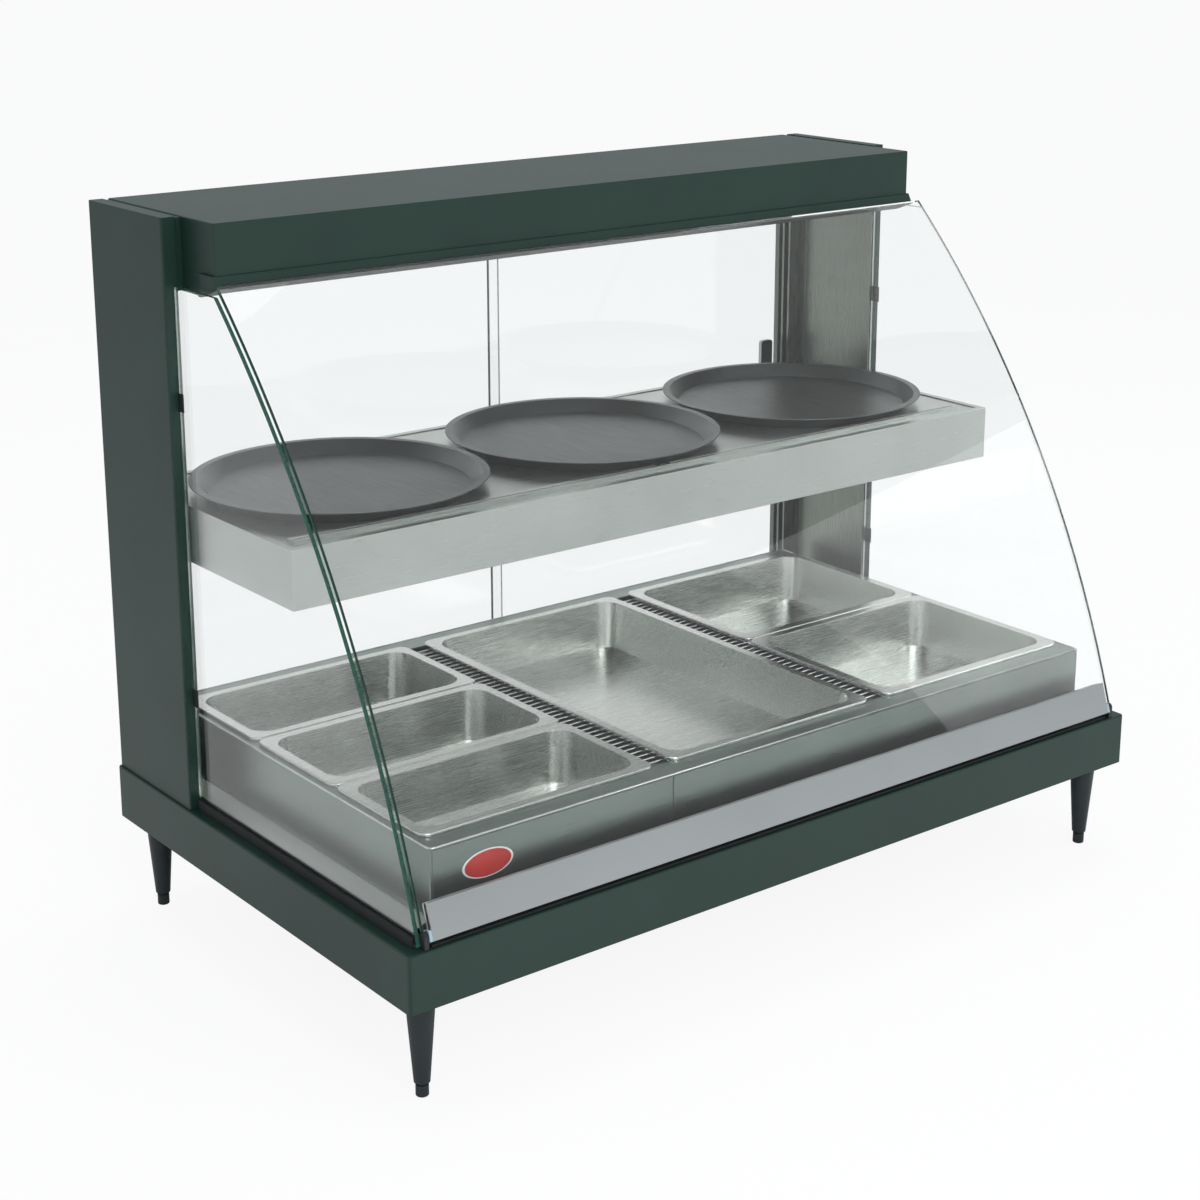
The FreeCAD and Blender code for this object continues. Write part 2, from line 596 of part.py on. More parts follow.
def hood_reflector():
    x, y0, y1, z1 = reflector_limits()
    trough = box(-x, x, y0, y1, LIP_BOTTOM, z1)
    z = LIP_BOTTOM + SHEET
    edge = REFLECTOR_FLANGE
    t = REFLECTOR_SHEET
    flange = box(-x - edge, x + edge, y0 - edge, y1 + edge, z, z + t)
    hollow = box(-x + t, x - t, y0 + t, y1 - t, LIP_BOTTOM - 1, z1 - t)
    return join([trough, flange]).cut(hollow)


def hood_element():
    x, y0, y1, _ = reflector_limits()
    t = REFLECTOR_SHEET
    return rod(ELEMENT_RADIUS, 2 * (x - t), -x + t, y1 - 24, LIP_BOTTOM + 26, (1, 0, 0))


def element_guard():
    x, y0, y1, _ = reflector_limits()
    z = LIP_BOTTOM + 4.0
    t = REFLECTOR_SHEET
    wires = [rod(GUARD_WIRE, 2 * (x - t), -x + t, y0 + 14 + k * 14, z, (1, 0, 0)) for k in range(5)]
    count = 15
    span = 2 * x - 60
    for index in range(count):
        cross = -span / 2 + index * span / (count - 1)
        wires.append(rod(GUARD_CROSS_WIRE, y1 - y0 - 2 * t, cross, y0 + t, z, (0, 1, 0)))
    return wires[0].multiFuse(wires[1:])


def lamp_centres():
    return [-LAMP_PITCH, 0.0, LAMP_PITCH]


def lamps():
    x, y0, y1, _ = reflector_limits()
    tubes = []
    for cx in lamp_centres():
        tubes.append(rod(LAMP_RADIUS, LAMP_LENGTH, cx - LAMP_LENGTH / 2, y0 + 24, LIP_BOTTOM + 28, (1, 0, 0)))
    return Part.makeCompound(tubes)


def lamp_sockets():
    x, y0, y1, z1 = reflector_limits()
    blocks = []
    for cx in lamp_centres():
        for x0 in (cx - LAMP_LENGTH / 2 - SOCKET_LENGTH, cx + LAMP_LENGTH / 2):
            blocks.append(box(x0, x0 + SOCKET_LENGTH, y0 + 16, y0 + 32, LIP_BOTTOM + 20, z1 - REFLECTOR_SHEET))
    return Part.makeCompound(blocks)


# ---- shelf ----
def shelf_skirt():
    outer = box(-SHELF_X, SHELF_X, SHELF_FRONT_Y, SHELF_REAR_Y, SHELF_BOTTOM, SHELF_TOP)
    outer = outer.makeFillet(1.5, upright_edges(outer, SHELF_X, SHELF_FRONT_Y))
    w = SHELF_SHEET
    inner = box(-SHELF_X + w, SHELF_X - w, SHELF_FRONT_Y + w, SHELF_REAR_Y - w,
                SHELF_BOTTOM + w, SHELF_TOP - w)
    lip = SHELF_LIP
    mouth = box(-SHELF_X + lip, SHELF_X - lip, SHELF_FRONT_Y + lip, SHELF_REAR_Y - lip,
                SHELF_BOTTOM - 1, SHELF_TOP + 1)
    return outer.cut(inner).cut(mouth)


def shelf_layer(z0, z1, margin):
    inset = SHELF_SHEET + margin
    return box(-SHELF_X + inset, SHELF_X - inset, SHELF_FRONT_Y + inset, SHELF_REAR_Y - inset, z0, z1)


def shelf_plate():
    z1 = SHELF_TOP - SHELF_SHEET
    return shelf_layer(z1 - SHEET, z1, GAP)


def shelf_heater():
    z1 = SHELF_TOP - SHELF_SHEET - SHEET
    return shelf_layer(z1 - HEATER_THICKNESS, z1, SHELF_HEATER_MARGIN)


def shelf_insulation():
    z1 = SHELF_TOP - SHELF_SHEET - SHEET - HEATER_THICKNESS
    return shelf_layer(z1 - INSULATION_THICKNESS, z1, SHELF_HEATER_MARGIN)


def shelf_bottom_cover():
    z0 = SHELF_BOTTOM + SHELF_SHEET
    return shelf_layer(z0, z0 + SHEET, GAP)


def shelf_rail():
    """The stop along the front of the shelf: a low bar on a thin foot strip."""
    y0 = SHELF_FRONT_Y + SHELF_RAIL_INSET
    z0 = SHELF_TOP - SHELF_SHEET
    bar = box(-SHELF_X + 16, SHELF_X - 36, y0, y0 + SHELF_RAIL_WIDTH, z0, z0 + SHELF_RAIL_HEIGHT)
    groove = box(-SHELF_X + 15, SHELF_X - 35, y0 + 3, y0 + 7, z0 + 2, z0 + SHELF_RAIL_HEIGHT + 1)
    return bar.cut(groove)


def shelf_bracket():
    x0 = SHELF_X
    return box(x0, LINER_X - LINER_SHEET, COLUMN_FRONT + 22, COLUMN_REAR - JAMB_DEPTH - 16,
               SHELF_BOTTOM + BRACKET_INSET, SHELF_TOP - BRACKET_INSET)


def serving_tray(cx):
    """A round tray: flat floor, flared wall and a flat rim."""
    z0 = SHELF_TOP - SHELF_SHEET + GAP
    t = TRAY_SHEET
    wall = TRAY_RADIUS - TRAY_RIM
    outline = [(0, 0), (TRAY_FLOOR_RADIUS, 0), (wall, TRAY_HEIGHT - t), (TRAY_RADIUS, TRAY_HEIGHT - t),
               (TRAY_RADIUS, TRAY_HEIGHT), (wall - t, TRAY_HEIGHT), (TRAY_FLOOR_RADIUS - t, t), (0, t)]
    corners = [FreeCAD.Vector(cx + r, TRAY_Y, z0 + z) for r, z in outline]
    face = Part.Face(Part.makePolygon(corners + [corners[0]]))
    return face.revolve(FreeCAD.Vector(cx, TRAY_Y, 0), FreeCAD.Vector(0, 0, 1), 360)


# ---- front glass and its hinge ----
def front_glass():
    return curved_sheet(-GLASS_HALF_WIDTH, GLASS_HALF_WIDTH, GLASS_RADIUS, GLASS_RADIUS - GLASS, LOW, HIGH)


def rail_angles():
    return (LOW - RAIL_BELOW_GLASS_FOOT / GLASS_RADIUS, LOW + RAIL_ABOVE_GLASS_FOOT / GLASS_RADIUS)


def glass_rail():
    """The extrusion that grips the foot of the glass and turns on the hinge pins."""
    low, high = rail_angles()
    outer = GLASS_RADIUS + GAP
    inner = GLASS_RADIUS - GLASS - GAP
    x = RAIL_HALF_LENGTH
    body = curved_sheet(-x, x, outer + RAIL_WALL, inner - RAIL_WALL, low, high)
    slot = curved_sheet(-x - 1, x + 1, outer, inner, LOW - GAP / GLASS_RADIUS, high + 0.01)
    bore = PIN_RADIUS + PIN_CLEARANCE
    for x0 in (-x - 1, x - PIN_LENGTH):
        body = body.cut(rod(bore, PIN_LENGTH + 1, x0, PIVOT_Y, PIVOT_Z, (1, 0, 0)))
    return body.cut(slot)


def rail_end_cap():
    """The plastic cap on the right end of the rail, below the glass."""
    low, _ = rail_angles()
    x = RAIL_HALF_LENGTH
    cap = curved_sheet(x, x + END_CAP, GLASS_RADIUS + RAIL_WALL, GLASS_RADIUS - GLASS - RAIL_WALL,
                       low, LOW - GAP / GLASS_RADIUS)
    return cap.cut(rod(PIN_RADIUS + PIN_CLEARANCE, END_CAP + 2, x - 1, PIVOT_Y, PIVOT_Z, (1, 0, 0)))


def hinge_bracket():
    """The right hinge foot with its pin."""
    x = HINGE_X
    head = rod(HINGE_HEAD_RADIUS, HINGE_PLATE, x, PIVOT_Y, PIVOT_Z, (1, 0, 0))
    stand = box(x, x + HINGE_PLATE, PIVOT_Y - HINGE_HEAD_RADIUS, PIVOT_Y + HINGE_HEAD_RADIUS, BASE_TOP, PIVOT_Z)
    reach = GAP + END_CAP + PIN_LENGTH - 2
    pin = rod(PIN_RADIUS, reach + 2, x - reach, PIVOT_Y, PIVOT_Z, (1, 0, 0))
    return join([head, stand, pin])


def glass_top_seal():
    """The soft strip on the nose that the closed glass rests against."""
    points = []
    z_low = LIP_BOTTOM + 13.5
    z_high = GLASS_TOP_Z - 2.0
    inner = GLASS_RADIUS - GLASS
    lean = GAP / math.cos(HIGH)
    for z in (z_low, z_high):
        glass_y = GLASS_CENTRE_Y - math.sqrt(inner ** 2 - (z - GLASS_CENTRE_Z) ** 2)
        points.append((glass_y + lean, z))
    outline = [points[0], points[1], (nose_face(z_high), z_high), (nose_face(z_low), z_low)]
    return profile_x(outline, -HOOD_X + 6, HOOD_X - 6)


# ---- side glass ----
def side_glass():
    """The right side glass; its front edge runs just behind the curved glass."""
    x0 = SIDE_GLASS_X
    z0 = BASE_TOP + CHANNEL_WALL + GAP
    z1 = LIP_BOTTOM + 6.0
    y1 = COLUMN_FRONT - 1.0
    radius = GLASS_RADIUS - GLASS - 1.5
    low = math.asin((z0 - GLASS_CENTRE_Z) / radius)
    high = math.asin((z1 - GLASS_CENTRE_Z) / radius)
    ends = []
    for angle in (low, (low + high) / 2, high):
        y, z = glass_point(angle, radius)
        ends.append(FreeCAD.Vector(x0, y, z))
    top = FreeCAD.Vector(x0, y1, z1)
    bottom = FreeCAD.Vector(x0, y1, z0)
    edges = [Part.Arc(*ends).toShape(), Part.LineSegment(ends[2], top).toShape(),
             Part.LineSegment(top, bottom).toShape(), Part.LineSegment(bottom, ends[0]).toShape()]
    return Part.Face(Part.Wire(edges)).extrude(FreeCAD.Vector(SIDE_GLASS, 0, 0))


def side_channel():
    """The channel on the base that the right side glass stands in."""
    inner = SIDE_GLASS_X - SIDE_GLASS_CLEARANCE / 6
    outer = SIDE_GLASS_X + SIDE_GLASS + SIDE_GLASS_CLEARANCE / 6
    y0 = PIVOT_Y + HINGE_HEAD_RADIUS + 2.0
    y1 = COLUMN_FRONT - GAP
    bar = box(inner - CHANNEL_WALL, outer + CHANNEL_WALL, y0, y1, BASE_TOP, BASE_TOP + CHANNEL_HEIGHT)
    return bar.cut(box(inner, outer, y0 - 1, y1 + 1, BASE_TOP + CHANNEL_WALL, BASE_TOP + CHANNEL_HEIGHT + 1))


def side_sill():
    """The folded cover between the well and the right side channel."""
    top = BASE_TOP - SHEET
    x0 = WELL_X + GAP
    x1 = SIDE_GLASS_X - CHANNEL_WALL - SILL_GAP - GAP
    outer = [(x0, top), (x1, top), (x1, top + 2.4), (x0 + 3, top + 15), (x0, top + 15)]
    inner = [(x0 + 1.2, top - 1), (x1 - 1.2, top - 1), (x1 - 1.2, top + 1.6), (x0 + 2.6, top + 13.8),
             (x0 + 1.2, top + 13.8)]
    y0 = WELL_FRONT
    length = SHELF_REAR_Y - y0
    solids = []
    for points, start, extra in ((outer, y0, 0.0), (inner, y0 - 1, 2.0)):
        corners = [FreeCAD.Vector(x, start, z) for x, z in points]
        face = Part.Face(Part.makePolygon(corners + [corners[0]]))
        solids.append(face.extrude(FreeCAD.Vector(0, length + extra, 0)))
    return solids[0].cut(solids[1])


# ---- rear doors ----
def door_glass(x0, x1, y):
    return box(x0, x1, y - DOOR_GLASS / 2, y + DOOR_GLASS / 2, DOOR_BOTTOM, DOOR_TOP)


def door_limit():
    return JAMB_X + DOOR_ENTRY


def door_pull(x0, y):
    """A flat pull with a finger hollow, on the serving face of a door."""
    y0 = y + DOOR_GLASS / 2
    z0 = (SHELF_BOTTOM + SHELF_TOP) / 2 - PULL_LENGTH / 2
    z1 = z0 + PULL_LENGTH
    plate = rounded_block(x0, x0 + DOOR_PULL_WIDTH, z0, z1, 0, DOOR_PULL_DEPTH, 5.0)
    hollow = rounded_block(x0 + 4, x0 + DOOR_PULL_WIDTH - 4, z0 + 8, z1 - 8, 1.5, DOOR_PULL_DEPTH + 1, 4.0)
    pull = plate.cut(hollow)
    pull.rotate(FreeCAD.Vector(0, 0, 0), FreeCAD.Vector(1, 0, 0), 90)
    return pull.translated(FreeCAD.Vector(0, y0 + DOOR_PULL_DEPTH, 0)).mirror(
        FreeCAD.Vector(0, y0 + DOOR_PULL_DEPTH / 2, 0), FreeCAD.Vector(0, 1, 0))


def track(base_z, direction):
    """One door track; direction is 1 for the bottom track and -1 for the top one."""
    x = JAMB_X - GAP
    y0 = DOOR_INNER_Y - DOOR_GLASS / 2 - TRACK_GAP
    y1 = DOOR_OUTER_Y + DOOR_GLASS / 2 + TRACK_GAP
    walls = [(y0 - TRACK_WALL, y0), (y1, y1 + TRACK_WALL)]
    middle = (DOOR_INNER_Y + DOOR_OUTER_Y) / 2
    walls.append((middle - TRACK_WALL / 2, middle + TRACK_WALL / 2))
    spans = sorted([base_z, base_z + direction * TRACK_WALL])
    pieces = [box(-x, x, y0 - TRACK_WALL, y1 + TRACK_WALL, spans[0], spans[1])]
    rise = sorted([base_z, base_z + direction * TRACK_RISE])
    pieces += [box(-x, x, a, b, rise[0], rise[1]) for a, b in walls]
    return join(pieces)


def door_tracks():
    bottom = track(BASE_TOP, 1)
    y0 = DOOR_INNER_Y - DOOR_GLASS / 2 - TRACK_GAP - TRACK_WALL
    foot = box(-JAMB_X + GAP, JAMB_X - GAP, y0, HALF_DEPTH - BASE_RIM - GAP, BASE_TOP - SHEET, BASE_TOP)
    return Part.makeCompound([join([bottom, foot]), track(LIP_BOTTOM, -1)])


# ---- controls ----
def panel_half_height():
    return BASE_HEIGHT / 2 - PANEL_BORDER


def control_places():
    """The x of the two switches and the two knobs, and their common height."""
    reach = PANEL_WIDTH / 2 - PANEL_END_INSET
    return [-reach, -reach + ROCKER_PITCH], [reach - KNOB_PITCH, reach]


def control_panel():
    x = PANEL_WIDTH / 2 - PANEL_BORDER
    h = panel_half_height()
    wall_y = HALF_DEPTH - SHEET
    t = PANEL_SHEET
    dish = box(-x, x, PANEL_FACE_Y - t, wall_y, PANEL_Z - h, PANEL_Z + h)
    flange_x = x + PANEL_SIDE_FLANGE
    flange_z = h + PANEL_FLANGE
    flange = box(-flange_x, flange_x, wall_y - t, wall_y, PANEL_Z - flange_z, PANEL_Z + flange_z)
    hollow = box(-x + t, x - t, PANEL_FACE_Y, wall_y + 1, PANEL_Z - h + t, PANEL_Z + h - t)
    panel = join([dish, flange]).cut(hollow)
    switches, knobs = control_places()
    for cx in knobs:
        panel = panel.cut(rod(SHAFT_RADIUS + GAP, 8, cx, PANEL_FACE_Y - 4, PANEL_Z, (0, 1, 0)))
    hx = ROCKER_WIDTH / 2 + 2
    hz = ROCKER_HEIGHT / 2 + 3
    for cx in switches:
        panel = panel.cut(box(cx - hx, cx + hx, PANEL_FACE_Y - 4, PANEL_FACE_Y + 4, PANEL_Z - hz, PANEL_Z + hz))
    return panel


def thermostats():
    bodies = []
    _, knobs = control_places()
    back = PANEL_FACE_Y - PANEL_SHEET
    for cx in knobs:
        case = box(cx - 18, cx + 18, back - 26, back, PANEL_Z - 16, PANEL_Z + 16)
        shaft = rod(SHAFT_RADIUS, 14, cx, back - 1, PANEL_Z, (0, 1, 0))
        bodies.append(join([case, shaft]))
    return bodies


def knob(cx):
    """A control knob: skirt, tapered grip and an index rib."""
    y0 = PANEL_FACE_Y + GAP + 0.4
    skirt = rod(KNOB_RADIUS, 3, cx, y0, PANEL_Z, (0, 1, 0))
    grip_foot = FreeCAD.Vector(cx, y0 + 3, PANEL_Z)
    grip = Part.makeCone(KNOB_RADIUS - 3, KNOB_RADIUS - 4.5, KNOB_DEPTH - 3, grip_foot, FreeCAD.Vector(0, 1, 0))
    rib = box(cx - 2, cx + 2, y0 + 2, y0 + KNOB_DEPTH + 1, PANEL_Z - 3, PANEL_Z + KNOB_RADIUS - 2)
    bore = rod(SHAFT_RADIUS + SHAFT_CLEARANCE, 13, cx, y0 - 1, PANEL_Z, (0, 1, 0))
    return join([skirt, grip, rib]).cut(bore)


def rocker_pivot_y():
    return PANEL_FACE_Y - 1.0


def switch_bodies():
    bodies = []
    switches, _ = control_places()
    hx = ROCKER_WIDTH / 2 + 2 - GAP
    hz = ROCKER_HEIGHT / 2 + 3 - GAP
    y = rocker_pivot_y()
    for cx in switches:
        face = PANEL_FACE_Y + PANEL_SHEET
        case = box(cx - hx, cx + hx, y - 14, face, PANEL_Z - hz, PANEL_Z + hz)
        bezel = box(cx - hx - 1.5, cx + hx + 1.5, PANEL_FACE_Y, face, PANEL_Z - hz - 1.5, PANEL_Z + hz + 1.5)
        pocket = box(cx - ROCKER_WIDTH / 2 - 0.4, cx + ROCKER_WIDTH / 2 + 0.4, y - 6.5, PANEL_FACE_Y + 3,
                     PANEL_Z - ROCKER_HEIGHT / 2 - 1.2, PANEL_Z + ROCKER_HEIGHT / 2 + 1.2)
        pin = rod(1.5, ROCKER_WIDTH + 2, cx - ROCKER_WIDTH / 2 - 1, y, PANEL_Z, (1, 0, 0))
        bodies.append(join([join([case, bezel]).cut(pocket), pin]))
    return bodies


def control_bodies():
    return Part.makeCompound(thermostats() + switch_bodies())


def rocker(cx):
    """A rocker cap, resting tilted at off."""
    y = rocker_pivot_y()
    half = ROCKER_HEIGHT / 2
    points = [(y - 4, PANEL_Z - half + 2), (y + 4, PANEL_Z - half), (y + 3.2, PANEL_Z),
              (y + 4, PANEL_Z + half), (y - 4, PANEL_Z + half - 2)]
    cap = profile_x(points, cx - ROCKER_WIDTH / 2, cx + ROCKER_WIDTH / 2)
    cap = cap.cut(rod(1.5 + SHAFT_CLEARANCE, ROCKER_WIDTH + 2, cx - ROCKER_WIDTH / 2 - 1, y, PANEL_Z, (1, 0, 0)))
    cap.rotate(FreeCAD.Vector(cx, y, PANEL_Z), FreeCAD.Vector(1, 0, 0), -ROCKER_TILT)
    return cap


def inlet_gland():
    """The bushing in the rear wall that a supply cable would enter through."""
    x = gland_x()
    z = gland_z()
    wall = GLAND_WALL
    tube = rod(GLAND_RADIUS - wall, GLAND_LENGTH, x, HALF_DEPTH - GLAND_LENGTH, z, (0, 1, 0))
    flange = rod(GLAND_RADIUS, wall, x, HALF_DEPTH - SHEET - wall, z, (0, 1, 0))
    bore = rod(GLAND_BORE, GLAND_LENGTH + 2, x, HALF_DEPTH - GLAND_LENGTH - 1, z, (0, 1, 0))
    return join([tube, flange]).cut(bore)


# ---- assembly ----
def fixed_parts():
    return {
        "base_housing": base_housing(),
        "base_floor": base_floor(),
        "base_deck": base_deck(),
        "legs": Part.makeCompound([leg(x, y) for x, y in leg_places()]),
        "well_shell": well_shell(),
        "well_front_skirts": well_front_skirts(),
        "heater_blankets": Part.makeCompound([well_heater(), shelf_heater()]),
        "insulation_pads": Part.makeCompound([well_insulation(), shelf_insulation()]),
        "wire_racks": wire_racks(),
        "columns": pair(column()),
        "column_liners": pair(column_liner()),
        "column_screws": column_screws(),
        "rear_jambs": pair(rear_jamb()),
        "hood_cap": hood_cap(),
        "hood_mount_bars": pair(hood_mount_bar()),
        "hood_nose": hood_nose(),
        "hood_bottom": hood_bottom(),
        "hood_reflector": hood_reflector(),
        "hood_element": hood_element(),
        "element_guard": element_guard(),
        "lamps": lamps(),
        "lamp_sockets": lamp_sockets(),
        "shelf_skirt": shelf_skirt(),
        "shelf_plate": shelf_plate(),
        "shelf_bottom_cover": shelf_bottom_cover(),
        "shelf_rail": shelf_rail(),
        "shelf_brackets": pair(shelf_bracket()),
        "hinge_brackets": pair(hinge_bracket()),
        "glass_top_seal": glass_top_seal(),
        "side_glasses": pair(side_glass()),
        "side_channels": pair(side_channel()),
        "side_sills": pair(side_sill()),
        "door_tracks": door_tracks(),
        "control_panel": control_panel(),
        "control_bodies": control_bodies(),
        "inlet_gland": inlet_gland(),
    }


def moving_parts():
    pull_x = JAMB_X - PULL_INSET
    parts = {
        "front_glass": front_glass(),
        "glass_rail": glass_rail(),
        "rail_end_caps": pair(rail_end_cap()),
        "door_left": door_glass(-door_limit(), DOOR_OVERLAP, DOOR_INNER_Y),
        "door_right": door_glass(-DOOR_OVERLAP, door_limit(), DOOR_OUTER_Y),
        "door_pull_left": door_pull(-pull_x, DOOR_INNER_Y),
        "door_pull_right": door_pull(pull_x - DOOR_PULL_WIDTH, DOOR_OUTER_Y),
        "pan_full_centre": food_pan(0.0, *pan_rows(1, 1)[0]),
    }
    for name, limits in zip(("front", "middle", "rear"), pan_rows(3, 3)):
        parts["pan_third_" + name] = food_pan(-BAY_PITCH, *limits)
    for name, limits in zip(("front", "rear"), pan_rows(2, 2)):
        parts["pan_half_" + name] = food_pan(BAY_PITCH, *limits)
    for name, cx in (("left", -TRAY_PITCH), ("centre", 0.0), ("right", TRAY_PITCH)):
        parts["tray_" + name] = serving_tray(cx)
    switches, knobs = control_places()
    for name, cx in zip(("heat", "light"), switches):
        parts["rocker_" + name] = rocker(cx)
    for name, cx in zip(("well", "shelf"), knobs):
        parts["knob_" + name] = knob(cx)
    for name, (x, y) in zip(("front_left", "front_right", "rear_left", "rear_right"), leg_places()):
        parts["foot_" + name] = foot(x, y)
    return parts


def export_parts():
    os.makedirs("parts", exist_ok=True)
    parts = fixed_parts()
    parts.update(moving_parts())
    for name, shape in parts.items():
        shape.exportStep("parts/" + name + ".step")
        print(name, len(shape.Solids), shape.isValid(), round(shape.Volume))
    print(len(parts), "parts")


export_parts()
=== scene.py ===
import bmesh
import bpy
import math
from mathutils import Matrix, Vector


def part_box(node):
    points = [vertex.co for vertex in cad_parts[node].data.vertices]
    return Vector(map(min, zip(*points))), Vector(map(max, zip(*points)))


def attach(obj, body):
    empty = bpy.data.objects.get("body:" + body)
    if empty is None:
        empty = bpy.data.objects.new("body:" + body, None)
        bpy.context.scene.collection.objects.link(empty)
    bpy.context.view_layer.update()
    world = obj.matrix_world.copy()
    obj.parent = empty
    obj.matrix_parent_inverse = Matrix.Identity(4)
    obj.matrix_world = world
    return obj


# Looks for the hot food display case. All lengths are in metres, in the frame of the CAD model.

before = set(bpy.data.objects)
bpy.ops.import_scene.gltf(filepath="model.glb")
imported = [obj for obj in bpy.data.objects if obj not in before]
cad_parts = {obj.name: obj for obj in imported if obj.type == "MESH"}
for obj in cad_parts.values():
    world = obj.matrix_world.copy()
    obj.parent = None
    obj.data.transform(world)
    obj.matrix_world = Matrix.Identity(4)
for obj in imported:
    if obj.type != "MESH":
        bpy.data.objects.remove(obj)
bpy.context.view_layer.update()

MM = 0.001
FLOOR_GLOW = 0.90

# ---- camera ----
CAMERA_PLACE = (-1.7510, -2.1649, 1.2949)
CAMERA_DOWN = 0.2639
CAMERA_TURN = 0.6633
CAMERA_LENS = 67.77
CAMERA_RISE = -0.1


def make_camera():
    data = bpy.data.cameras.new("camera")
    data.lens = CAMERA_LENS
    data.sensor_width = 36.0
    data.shift_y = CAMERA_RISE
    data.clip_start = 0.05
    data.clip_end = 60.0
    camera = bpy.data.objects.new("camera", data)
    camera.location = CAMERA_PLACE
    camera.rotation_euler = (math.pi / 2 - CAMERA_DOWN, 0.0, -CAMERA_TURN)
    bpy.context.collection.objects.link(camera)
    bpy.context.scene.camera = camera


# ---- node helpers ----
class Graph:
    """A material under construction."""

    def __init__(self, name):
        self.material = bpy.data.materials.new(name)
        self.material.use_nodes = True
        self.tree = self.material.node_tree
        self.tree.nodes.clear()
        self.output = self.add("ShaderNodeOutputMaterial")

    def add(self, kind, **settings):
        node = self.tree.nodes.new(kind)
        for key, value in settings.items():
            setattr(node, key, value)
        return node

    def link(self, source, target):
        self.tree.links.new(source, target)

    def principled(self, colour, roughness, metallic=0.0, **sockets):
        node = self.add("ShaderNodeBsdfPrincipled")
        node.inputs["Base Color"].default_value = (*colour, 1.0)
        node.inputs["Roughness"].default_value = roughness
        node.inputs["Metallic"].default_value = metallic
        for key, value in sockets.items():
            node.inputs[key.replace("_", " ")].default_value = value
        return node

    def coordinates(self, scale):
        """Object coordinates stretched by a scale along each axis."""
        place = self.add("ShaderNodeTexCoord")
        mapping = self.add("ShaderNodeMapping")
        mapping.inputs["Scale"].default_value = scale
        self.link(place.outputs["Object"], mapping.inputs["Vector"])
        return mapping.outputs["Vector"]

    def noise(self, scale, size, detail=3.0):
        node = self.add("ShaderNodeTexNoise")
        node.inputs["Scale"].default_value = size
        node.inputs["Detail"].default_value = detail
        self.link(self.coordinates(scale), node.inputs["Vector"])
        return node.outputs["Fac"]

    def spread(self, source, low, high):
        """Map a 0.3 to 0.7 signal onto low to high."""
        node = self.add("ShaderNodeMapRange")
        node.inputs["From Min"].default_value = 0.3
        node.inputs["From Max"].default_value = 0.7
        node.inputs["To Min"].default_value = low
        node.inputs["To Max"].default_value = high
        self.link(source, node.inputs["Value"])
        return node.outputs["Result"]

    def tint(self, source, dark, light):
        node = self.add("ShaderNodeValToRGB")
        node.color_ramp.elements[0].position = 0.3
        node.color_ramp.elements[1].position = 0.7
        node.color_ramp.elements[0].color = (*dark, 1.0)
        node.color_ramp.elements[1].color = (*light, 1.0)
        self.link(source, node.inputs["Fac"])
        return node.outputs["Color"]

    def bump(self, source, strength, distance, rounding=0.0):
        node = self.add("ShaderNodeBump")
        node.inputs["Strength"].default_value = strength
        node.inputs["Distance"].default_value = distance
        self.link(source, node.inputs["Height"])
        if rounding:
            bevel = self.add("ShaderNodeBevel", samples=4)
            bevel.inputs["Radius"].default_value = rounding
            self.link(bevel.outputs["Normal"], node.inputs["Normal"])
        return node.outputs["Normal"]

    def finish(self, shader):
        self.link(shader.outputs[0], self.output.inputs["Surface"])
        return self.material


def shade(colour, factor):
    return tuple(min(1.0, value * factor) for value in colour)


# ---- materials ----
def painted(name, colour, roughness, grain=1400.0, rounding=0.0015):
    """Powder coat: orange peel, faint mottling and softly rounded edges."""
    g = Graph(name)
    shader = g.principled(colour, roughness, Specular_IOR_Level=0.45)
    mottle = g.noise((1, 1, 1), 9.0)
    g.link(g.tint(mottle, shade(colour, 0.90), shade(colour, 1.10)), shader.inputs["Base Color"])
    peel = g.noise((1, 1, 1), grain, 2.0)
    g.link(g.spread(peel, roughness - 0.05, roughness + 0.07), shader.inputs["Roughness"])
    g.link(g.bump(peel, 0.35, 0.0002, rounding), shader.inputs["Normal"])
    return g.finish(shader)


def brushed(name, colour, roughness, along, rounding=0.001, contrast=0.08):
    """Brushed metal with its grain along one axis."""
    g = Graph(name)
    shader = g.principled(colour, roughness, 1.0)
    fine = [1.0 if axis == along else 60.0 for axis in "xyz"]
    grain = g.noise(fine, 22.0, 6.0)
    cloud = g.noise((1, 1, 1), 5.0)
    tinted = g.tint(cloud, shade(colour, 1 - contrast), shade(colour, 1 + contrast))
    g.link(tinted, shader.inputs["Base Color"])
    g.link(g.spread(grain, roughness - 0.07, roughness + 0.10), shader.inputs["Roughness"])
    g.link(g.bump(grain, 0.12, 0.0001, rounding), shader.inputs["Normal"])
    return g.finish(shader)


def moulded(name, colour, roughness, grain=2600.0, rounding=0.0006):
    """Moulded plastic or rubber with a fine sparked texture."""
    g = Graph(name)
    shader = g.principled(colour, roughness, Specular_IOR_Level=0.4)
    spark = g.noise((1, 1, 1), grain, 3.0)
    cloud = g.noise((1, 1, 1), 30.0)
    g.link(g.tint(cloud, shade(colour, 0.85), shade(colour, 1.2)), shader.inputs["Base Color"])
    g.link(g.spread(spark, roughness - 0.05, roughness + 0.08), shader.inputs["Roughness"])
    g.link(g.bump(spark, 0.4, 0.0001, rounding), shader.inputs["Normal"])
    return g.finish(shader)


